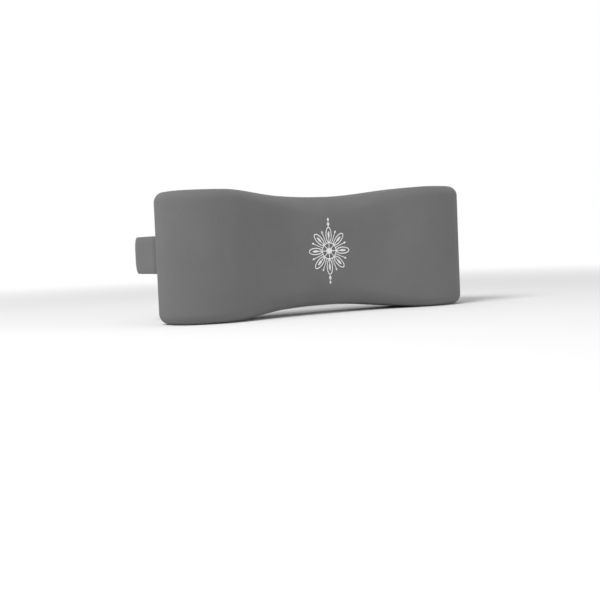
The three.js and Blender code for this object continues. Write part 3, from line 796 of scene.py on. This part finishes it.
zip_row = teeth_tree()
for name, side, shift in (("upper", 1, 0), ("lower", -1, tooth_pitch / 2)):
    low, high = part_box("zip_teeth_" + name)
    first_x = low.x + tooth_pitch / 2 + shift
    middle_y = (low.y + high.y) / 2
    cord_z = (high.z if side > 0 else low.z) - side * cord_radius
    teeth = grown("teeth_" + name, bpy.data.meshes.new("teeth_seed"), zip_row, {
        "Count": int((high.x - tooth_pitch / 2 - first_x) / tooth_pitch) + 1,
        "Pitch": tooth_pitch,
        "First tooth": (first_x, middle_y, (low.z + high.z) / 2),
        "Tooth size": (tooth_width, high.y - low.y, high.z - low.z),
        "Cord start": (low.x, middle_y, cord_z),
        "Cord end": (high.x, middle_y, cord_z),
        "Cord radius": cord_radius,
        "Nylon": tooth_nylon,
    })
    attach(teeth, "pillow")
    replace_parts(teeth, "zip_teeth_" + name)


def moulded_copy(node, name, edge, material, body):
    """A merged copy of a CAD node with its edges rounded off, in place of the node."""
    mesh = bmesh.new()
    mesh.from_mesh(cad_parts[node].data)
    bmesh.ops.remove_doubles(mesh, verts=mesh.verts, dist=1e-6)
    bmesh.ops.dissolve_limit(mesh, angle_limit=math.radians(2), verts=mesh.verts, edges=mesh.edges)
    for face in mesh.faces:
        face.smooth = True
    obj = bmesh_object(name, mesh, material)
    bevel = obj.modifiers.new("bevel", "BEVEL")
    bevel.width = edge
    bevel.segments = 3
    bevel.limit_method = "ANGLE"
    bevel.angle_limit = math.radians(32)
    bevel.harden_normals = True
    apply_modifiers(obj)
    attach(obj, body)
    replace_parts(obj, node)


moulded_copy("zip_bottom_stop", "bottom_stop", 0.0004, dark_lacquer, "pillow")
moulded_copy("zip_top_stop", "top_stop", 0.0004, dark_lacquer, "pillow")

# Slider and pull
# The slider is die-cast and lacquered dark. Its pull hangs from a bail on its back and can swing over.
moulded_copy("zip_slider", "slider_body", 0.0003, dark_lacquer, "slider")
moulded_copy("zip_pull", "pull_tab", 0.0003, dark_lacquer, "pull")

# Topstitching
# The back panels are sewn down beside the zip with grey thread, in four lines round its slot.
thread_grey = (0.25, 0.25, 0.252, 1)
ply_per_metre = 900
ply_relief = 0.00005
stitch_pitch = 0.0029
stitch_length = 0.0023
thread_thickness = 0.00055
stitch_margin = 0.002


def stitch_tree():
    """Geometry Nodes tree: threads laid along a mesh's edges, each as long as its "reach" says."""
    tree, start, end = new_group("thread_stitches", "GeometryNodeTree", {
        "Geometry": "Geometry",
        "Pitch": "Float",
        "Thickness": "Float",
        "Across": "Bool",
        "Thread": "Material",
    }, {"Geometry": "Geometry"})
    curve = new_node(tree, "GeometryNodeMeshToCurve", {"Mesh": (start, "Geometry")})
    points = new_node(tree, "GeometryNodeCurveToPoints",
                      {"Curve": (curve, "Curve"), "Length": (start, "Pitch")}, mode="LENGTH")
    tangent, thickness = (points, "Tangent"), (start, "Thickness")
    aside = new_node(tree, "ShaderNodeVectorMath", {0: tangent, 1: (0, 1, 0)}, operation="CROSS_PRODUCT")
    direction = new_node(tree, "GeometryNodeSwitch",
                         {"Switch": (start, "Across"), "False": tangent, "True": (aside, 0)},
                         input_type="VECTOR")
    turn = new_node(tree, "FunctionNodeAlignRotationToVector", {"Vector": (direction, "Output")}, axis="X")
    reach = new_node(tree, "GeometryNodeInputNamedAttribute", {"Name": "reach"}, data_type="FLOAT")
    size = new_node(tree, "ShaderNodeCombineXYZ", {"X": (reach, "Attribute"), "Y": thickness, "Z": thickness})
    thread = new_node(tree, "GeometryNodeMeshUVSphere", {"Segments": 8, "Rings": 6, "Radius": 0.5})
    sewn = new_node(tree, "GeometryNodeInstanceOnPoints", {
        "Points": (points, "Points"),
        "Instance": (thread, "Mesh"),
        "Rotation": (turn, "Rotation"),
        "Scale": (size, 0),
    })
    finish_tree(tree, end, (sewn, "Instances"), (start, "Thread"))
    return tree


def thread_material(name, colour):
    """Twisted thread: a fine slanting ply that shows as bump, and a little as painted shade in its grooves.
    """
    material, tree, shader = new_material(name)
    ply = new_node(tree, "ShaderNodeTexWave", {
        "Vector": own_place(tree),
        "Scale": ply_per_metre,
        "Distortion": 1.5,
    }, bands_direction="DIAGONAL")
    # Painted shade: the thread's colour drops to 0.85 in the low grooves of the ply.
    textured(tree, shader, colour, ply_relief, ply, shade=remapped(tree, (ply, "Fac"), 0, 1, 0.85, 1.0))
    feed(shader, {"Roughness": 0.55, "Sheen Weight": 0.2})
    return material


stitches = stitch_tree()
grey_thread = thread_material("grey_thread", thread_grey)


def sew(name, lines, thread=grey_thread, pitch=stitch_pitch, thickness=thread_thickness, across=False):
    """Threads along lines. A line is its points, whether it closes, and the length of its threads."""
    vertices, edges, reach = [], [], []
    for points, closed, length in lines:
        first = len(vertices)
        vertices += [tuple(p) for p in points]
        edges += [(first + i, first + i + 1) for i in range(len(points) - 1)]
        if closed:
            edges.append((first + len(points) - 1, first))
        reach += np.broadcast_to(length, len(points)).tolist()
    source = bpy.data.meshes.new(name)
    source.from_pydata(vertices, edges, [])
    source.attributes.new("reach", "FLOAT", "POINT").data.foreach_set("value", reach)
    values = {"Pitch": pitch, "Thickness": thickness, "Across": across, "Thread": thread}
    obj = grown(name, source, stitches, values)
    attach(obj, "pillow")
    return obj


def sides_of(corners):
    return [(corners[i], corners[(i + 1) % 4]) for i in range(4)]


slot_reach = zip_slot_end + slot_ease + stitch_margin / 2
slot_rise = zip_slot_half + panel_roll + stitch_margin
slot_corners = [(x * slot_reach, back_y, middle_z + zip_z + z * slot_rise) for x, z in square]
sew("zip_topstitch", [(side, False, stitch_length) for side in sides_of(slot_corners)])

# Strap sleeves
# Each side of the strap starts as a padded tube of the cover's knit, with its seam down the inner face.
# Its flattened tab is sewn to the back panel, and its other end is sewn shut over the webbing.
sleeve_low, sleeve_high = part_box("strap_sleeve_right")
sleeve_thickness = 0.005
sleeve_half_width = (sleeve_high.z - sleeve_low.z) / 2
sleeve_end_x = 0.112
strap_z = (sleeve_low.z + sleeve_high.z) / 2
strap_side_x = sleeve_high.x - sleeve_thickness / 2
tab_start_x = sleeve_low.x
tab_y = sleeve_low.y + sleeve_thickness / 2
rear_y = sleeve_high.y - sleeve_thickness / 2
strap_root_radius = 0.006
strap_turn_radius = 0.018
sleeve_width_power = 3.5
sleeve_thickness_power = 2.2
sleeve_end_roll = 0.0018
seam_groove_depth = 0.0005
seam_groove_width = 0.0006
dimple_depth = 0.0011
dimple_width = 0.0014
tab_flattening = 0.0006
end_dimple_depth = 0.00077
most_pressed = 0.8
closed_share = 0.35
closing_power = 0.7
end_narrowing = 0.04
box_margin = 0.004
box_length = 0.022
box_half_height = 0.011
end_line_near = 0.0028
end_line_far = 0.0085
path_step = 0.0008


def arc_points(centre_x, centre_y, radius, start, stop, steps):
    angles = np.linspace(start, stop, steps + 1)
    return [(centre_x + radius * math.cos(a), centre_y + radius * math.sin(a)) for a in angles]


def straight_points(first, last, step):
    count = max(2, int(math.dist(first, last) / step))
    share = np.linspace(0, 1, count + 1)
    return [(first[0] + (last[0] - first[0]) * t, first[1] + (last[1] - first[1]) * t) for t in share]


def joined(*runs):
    points = []
    for run in runs:
        points += run[1:] if points and math.dist(points[-1], run[0]) < 1e-7 else run
    return np.array(points)


def directions(points):
    """The unit direction of a line at each of its points."""
    along = np.gradient(points, axis=0)
    return along / np.linalg.norm(along, axis=1, keepdims=True)


def travelled(points):
    steps = np.linalg.norm(np.diff(points, axis=0), axis=1)
    return np.concatenate([[0], np.cumsum(steps)])


def swept(name, rings, across_of, material):
    """A closed skin over rings of points, with a UV map of the way along and the place across, in metres."""
    mesh = bmesh.new()
    count = len(rings[0])
    corners = [[mesh.verts.new(p) for p in ring] for ring in rings]
    uv = mesh.loops.layers.uv.new("along_across")
    travel = travelled(np.array([np.mean(ring, axis=0) for ring in rings]))
    place = {}
    for number, ring in enumerate(corners):
        for i, corner in enumerate(ring):
            place[corner] = (travel[number], across_of[i])
    for near, away in zip(corners, corners[1:]):
        for i in range(count):
            mesh.faces.new((near[i], near[(i + 1) % count], away[(i + 1) % count], away[i]))
    for ring in (corners[0], corners[-1]):
        mesh.faces.new(ring)
    bmesh.ops.recalc_face_normals(mesh, faces=mesh.faces)
    for face in mesh.faces:
        face.smooth = len(face.verts) == 4
        for loop in face.loops:
            loop[uv].uv = place[loop.vert]
    return bmesh_object(name, mesh, material)


def sleeve_section():
    """Places across the sleeve, up its inner face and down its outer one, each with its face's sign."""
    turned = sleeve_half_width * np.sin(np.linspace(-math.pi / 2, math.pi / 2, 25))
    beside_seam = np.array([-2.2, -1.2, -0.6, 0.6, 1.2, 2.2]) * seam_groove_width
    up = np.sort(np.concatenate([turned, beside_seam]))
    fullness = 1 - np.abs(up / sleeve_half_width) ** sleeve_width_power
    half = sleeve_thickness / 2 * fullness ** (1 / sleeve_thickness_power)
    inner = [(half[i], up[i], 1) for i in range(len(up))]
    outer = [(-half[i], up[i], -1) for i in range(len(up) - 2, 0, -1)]
    return np.array(inner + outer)


def line_distance(along, up, first, last):
    """How far a point of the sleeve's face is from a sewn line."""
    x, y = last[0] - first[0], last[1] - first[1]
    share = min(max(((along - first[0]) * x + (up - first[1]) * y) / (x * x + y * y), 0), 1)
    return math.hypot(along - first[0] - share * x, up - first[1] - share * y)


def box_lines(near, far, half_height):
    """The four sides and two diagonals of a sewn box."""
    corners = [(near, -half_height), (far, -half_height), (far, half_height), (near, half_height)]
    return sides_of(corners) + [(corners[0], corners[2]), (corners[1], corners[3])]


tab_lines = box_lines(box_margin, box_margin + box_length, box_half_height)
root_x, root_y = strap_side_x - strap_root_radius, tab_y + strap_root_radius
turn_x, turn_y = strap_side_x - strap_turn_radius, rear_y - strap_turn_radius
sleeve_path = joined(
    straight_points((tab_start_x, tab_y), (root_x, tab_y), path_step),
    arc_points(root_x, root_y, strap_root_radius, -math.pi / 2, 0, 10),
    straight_points((strap_side_x, root_y), (strap_side_x, turn_y), 2.5 * path_step),
    arc_points(turn_x, turn_y, strap_turn_radius, 0, math.pi / 2, 22),
    straight_points((turn_x, rear_y), (sleeve_end_x, rear_y), path_step),
)


def sleeve_mesh(name, side):
    """side is 1 for the right sleeve and -1 for the left one."""
    section = sleeve_section()
    travel = travelled(sleeve_path)
    length = travel[-1]
    box_end = box_margin + box_length + 3 * dimple_width
    end_lines = [
        ((length - inset, -box_half_height), (length - inset, box_half_height))
        for inset in (end_line_near, end_line_far)
    ]
    rings = []
    for (x, y), (dx, dy), s in zip(sleeve_path, directions(sleeve_path), travel):
        open_angle = math.pi / 2 * min(min(s, length - s) / sleeve_end_roll, 1)
        closing = closed_share + (1 - closed_share) * math.sin(open_angle) ** closing_power
        ring = []
        for across, up, face in section:
            pressed = seam_groove_depth * math.exp(-(up / seam_groove_width) ** 2) if face > 0 else 0
            if s < box_end and face > 0:
                near = min(line_distance(s, up, *line) for line in tab_lines)
                pressed = tab_flattening + dimple_depth * math.exp(-(near / dimple_width) ** 2)
                pressed *= eased(min((box_end - s) / (2 * dimple_width), 1))
            if s > length - end_line_far - 3 * dimple_width:
                near = min(line_distance(s, up, *line) for line in end_lines)
                pressed += end_dimple_depth * math.exp(-(near / dimple_width) ** 2)
            offset = across * closing - face * min(pressed, abs(across) * most_pressed)
            rise = up * (1 - end_narrowing + end_narrowing * closing)
            ring.append((side * (x - dy * offset), y + dx * offset, strap_z + rise))
        rings.append(ring)
    obj = swept(name, rings, section[:, 1], cover_knit)
    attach(obj, "pillow")
    return obj


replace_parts(sleeve_mesh("sleeve_left", -1), "strap_sleeve_left")
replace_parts(sleeve_mesh("sleeve_right", 1), "strap_sleeve_right")
tab_face_y = tab_y + sleeve_thickness / 2 - tab_flattening - dimple_depth
rear_face_y = rear_y + sleeve_thickness / 2 - end_dimple_depth
tab_stitches, rear_stitches = [], []
for side in (-1, 1):
    for line in tab_lines:
        ends = [(side * (tab_start_x + s), tab_face_y, strap_z + up) for s, up in line]
        tab_stitches.append((ends, False, stitch_length))
    for distance in (end_line_near, end_line_far):
        x = side * (sleeve_end_x + distance)
        ends = [(x, rear_face_y, strap_z + up) for up in (-box_half_height, box_half_height)]
        rear_stitches.append((ends, False, stitch_length))
sew("tab_stitches", tab_stitches)
sew("sleeve_end_stitches", rear_stitches)

# Webbing
# Flat elastic webbing, woven with twelve ribs along it, runs from each sleeve to the buckle. On the left
# it turns round the socket's bar and is sewn back on itself. On the right it turns round the plug's bar
# and runs back to the adjuster.
webbing_grey = (0.115, 0.115, 0.116, 1)
webbing_thickness = 0.002
webbing_half_width = 0.0125
webbing_edge_power = 24
webbing_edge_share = 0.08
webbing_edge_margin = 0.0025
rib_count = 12
rib_relief = 0.00022
points_per_rib = 5
bar_depth = 0.004
layer_offset = 0.0029
return_length = 0.030
adjuster_loop = 0.0025
adjuster_bar_radius = 0.0012
flex_joint_x = 0.0505
webbing_start_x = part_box("webbing_right")[1].x
plug_low, plug_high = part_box("buckle_plug")
socket_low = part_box("buckle_socket")[0]
adjuster_low, adjuster_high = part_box("strap_adjuster")
buckle_y = (plug_low.y + plug_high.y) / 2
outer_layer_y = buckle_y + layer_offset
inner_layer_y = buckle_y - layer_offset
plug_turn_x = plug_high.x - bar_depth - sewing_gap / 2
socket_turn_x = -socket_low.x - bar_depth - sewing_gap / 2
adjuster_x = (adjuster_low.x + adjuster_high.x) / 2
adjuster_bar_y = adjuster_low.y + adjuster_bar_radius
webbing_ribs = woven_material("webbing_ribs", webbing_grey, threads_per_metre=1100, relief=0.00012,
                              from_uv=True)


def webbing_section():
    up = np.linspace(-webbing_half_width, webbing_half_width, rib_count * points_per_rib + 1)
    share = (up / webbing_half_width + 1) / 2 * rib_count
    ribs = rib_relief * (1 - np.abs(np.sin(math.pi * share)))
    body = webbing_thickness / 2 * (1 - np.abs(up / webbing_half_width) ** webbing_edge_power) ** 0.5
    half = np.maximum(body - ribs, webbing_thickness * webbing_edge_share)
    return np.concatenate([np.stack([half, up], 1), np.stack([-half, up], 1)[::-1]])


def webbing_mesh(name, path, side=1):
    section = webbing_section()
    rings = []
    for (x, y), (dx, dy) in zip(path, directions(path)):
        rings.append([(side * (x - dy * a), y + dx * a, strap_z + up) for a, up in section])
    obj = swept(name, rings, section[:, 1], webbing_ribs)
    return obj


def eased_points(first, last, steps):
    """A line that leaves one layer and eases over to another."""
    share = np.linspace(0, 1, steps + 1)
    return [(first[0] + (last[0] - first[0]) * t, first[1] + (last[1] - first[1]) * eased(t)) for t in share]


web_step = 0.0015
turn_steps = 16
sewn_y = outer_layer_y - webbing_thickness - sewing_gap
ease_from = socket_turn_x + 1.5 * bar_depth
ease_to = ease_from + 3 * bar_depth
left_path = joined(
    straight_points((webbing_start_x, outer_layer_y), (socket_turn_x, outer_layer_y), web_step),
    arc_points(socket_turn_x, buckle_y, layer_offset, math.pi / 2, math.pi * 1.5, turn_steps),
    straight_points((socket_turn_x, inner_layer_y), (ease_from, inner_layer_y), web_step),
    eased_points((ease_from, inner_layer_y), (ease_to, sewn_y), 12),
    straight_points((ease_to, sewn_y), (ease_to + return_length, sewn_y), web_step),
)
left_webbing = webbing_mesh("webbing_to_socket", left_path, -1)
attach(left_webbing, "pillow")
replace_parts(left_webbing, "webbing_left")

bar_low_y = adjuster_bar_y - adjuster_loop
loop_end = (adjuster_x - 3 * adjuster_loop, bar_low_y + webbing_thickness + sewing_gap)
return_run = eased_points((plug_turn_x, inner_layer_y), (adjuster_x, bar_low_y), 60)
split = min(range(len(return_run)), key=lambda i: abs(return_run[i][0] - flex_joint_x))
right_path = joined(
    straight_points((webbing_start_x, outer_layer_y), (plug_turn_x, outer_layer_y), web_step),
    arc_points(plug_turn_x, buckle_y, layer_offset, math.pi / 2, math.pi * 1.5, turn_steps),
    return_run[:split + 1],
)
loop_path = joined(
    return_run[split:],
    arc_points(adjuster_x, adjuster_bar_y, adjuster_loop, -math.pi / 2, math.pi / 2, turn_steps),
    eased_points((adjuster_x, adjuster_bar_y + adjuster_loop), loop_end, 10),
)
right_webbing = webbing_mesh("webbing_to_plug", right_path)
loop_webbing = webbing_mesh("webbing_to_adjuster", loop_path)
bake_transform(right_webbing)
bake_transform(loop_webbing)
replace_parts(right_webbing, "webbing_right")
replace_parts(loop_webbing, "webbing_right")
webbing_face_y = outer_layer_y + webbing_thickness / 2
return_lines = box_lines(ease_to + box_margin, ease_to + return_length - box_margin,
                         webbing_half_width - webbing_edge_margin)
return_stitches = [
    ([(-x, webbing_face_y, strap_z + up) for x, up in line], False, stitch_length) for line in return_lines
]
sew("return_stitches", return_stitches)

# Buckle
# A side-release buckle in black nylon. Its hollow socket sits on the left webbing, and its plug, with two
# sprung prongs and a guide between them, sits on the right.
nylon_black = (0.024, 0.024, 0.024, 1)
black_nylon = moulded_material("black_nylon", nylon_black, roughness=0.42, metallic=0.0,
                               grains_per_metre=2200, relief=0.00003)
moulded_copy("buckle_socket", "socket", 0.0006, black_nylon, "pillow")
moulded_copy("buckle_plug", "plug_body", 0.0006, black_nylon, "plug")

# Adjuster
# A three-bar slide of the same nylon. The strap runs under its two outer bars, and the webbing's end
# turns round its middle one.
moulded_copy("strap_adjuster", "adjuster_frame", 0.0005, black_nylon, "adjuster")

# Embroidery
# A plain eight-petal rosette in white satin stitch on the front of the waist. Its lines are short threads
# laid side by side across them, and its leaves and beads are threads of changing length.
emblem_low, emblem_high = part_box("emblem")
thread_white = (0.9, 0.9, 0.9, 1)
rosette_radius = (emblem_high.x - emblem_low.x) / 2
emblem_half_height = (emblem_high.z - emblem_low.z) / 2
petal_count = 8
petal_half_length = 0.007
petal_half_width = 0.0032
seed_half_length = 0.003
seed_half_width = 0.001
bead_inset = 0.0035
bead_half_size = 0.0014
heart_radius = 0.003
line_width = 0.001
satin_pitch = 0.00034
satin_thickness = 0.00042
satin_standoff = 0.3
stem_share = 0.8
leaf_span = 0.96
bead_slimness = 0.7
diamond_shares = ((0.3, 0.28, 0.2), (0.8, 0.2, 0.14))
curve_steps = 40
cover_skin = BVHTree.FromObject(cover, bpy.context.evaluated_depsgraph_get())


def on_cover(x, z):
    """The point of the cover's front at a place of the rosette."""
    hit = cover_skin.ray_cast(Vector((x, cover_low.y - 0.05, middle_z + z)), Vector((0, 1, 0)))[0]
    return (x, hit.y - satin_thickness * satin_standoff, middle_z + z)


def polar(angle, radius, aside=0.0):
    x = radius * math.cos(angle) - aside * math.sin(angle)
    return x, radius * math.sin(angle) + aside * math.cos(angle)


def leaf_outline(angle, radius, half_length, half_width):
    inset = line_width / 2
    points = []
    for t in np.linspace(0, 2 * math.pi, curve_steps + 1)[:-1]:
        along = radius + (half_length - inset) * math.cos(t)
        points.append(on_cover(*polar(angle, along, (half_width - inset) * math.sin(t))))
    return points


def filled_leaf(angle, radius, half_length, half_width, power):
    """A line down the leaf's middle, with threads as long as the leaf is wide there."""
    share = np.linspace(-leaf_span, leaf_span, curve_steps // 2)
    points = [on_cover(*polar(angle, radius + half_length * t)) for t in share]
    widths = 2 * half_width * (1 - np.abs(share) ** power) ** (1 / power) + satin_thickness
    return points, False, widths


def stem(angle, start, stop):
    share = np.linspace(start, stop, 8)
    return [on_cover(*polar(angle, r)) for r in share], False, line_width * stem_share


petal_middle = rosette_radius - petal_half_length
ring_radius = rosette_radius - 2 * petal_half_length
ring_turns = np.linspace(0, 2 * math.pi, curve_steps + 1)[:-1]
emblem_lines = [([on_cover(*polar(t, ring_radius)) for t in ring_turns], True, line_width)]
emblem_lines.append(filled_leaf(0.0, 0.0, heart_radius, heart_radius, 2))
bead_radius = rosette_radius - bead_inset
for number in range(petal_count):
    angle = 2 * math.pi * number / petal_count
    between = angle + math.pi / petal_count
    petal = leaf_outline(angle, petal_middle, petal_half_length, petal_half_width)
    emblem_lines.append((petal, True, line_width))
    emblem_lines.append(filled_leaf(angle, petal_middle, seed_half_length, seed_half_width, 1.6))
    emblem_lines.append(stem(angle, heart_radius, petal_middle - seed_half_length))
    emblem_lines.append(stem(between, ring_radius, bead_radius - bead_half_size))
    emblem_lines.append(filled_leaf(between, bead_radius, bead_half_size, bead_half_size * bead_slimness, 1))
space = emblem_half_height - rosette_radius
for angle in (math.pi / 2, -math.pi / 2):
    for away, length, width in diamond_shares:
        diamond_radius = rosette_radius + space * away
        emblem_lines.append(filled_leaf(angle, diamond_radius, space * length, space * width, 1))
white_thread = thread_material("white_thread", thread_white)
embroidery = sew("embroidery", emblem_lines, white_thread, satin_pitch, satin_thickness,
                 across=True)
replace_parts(embroidery, "emblem")
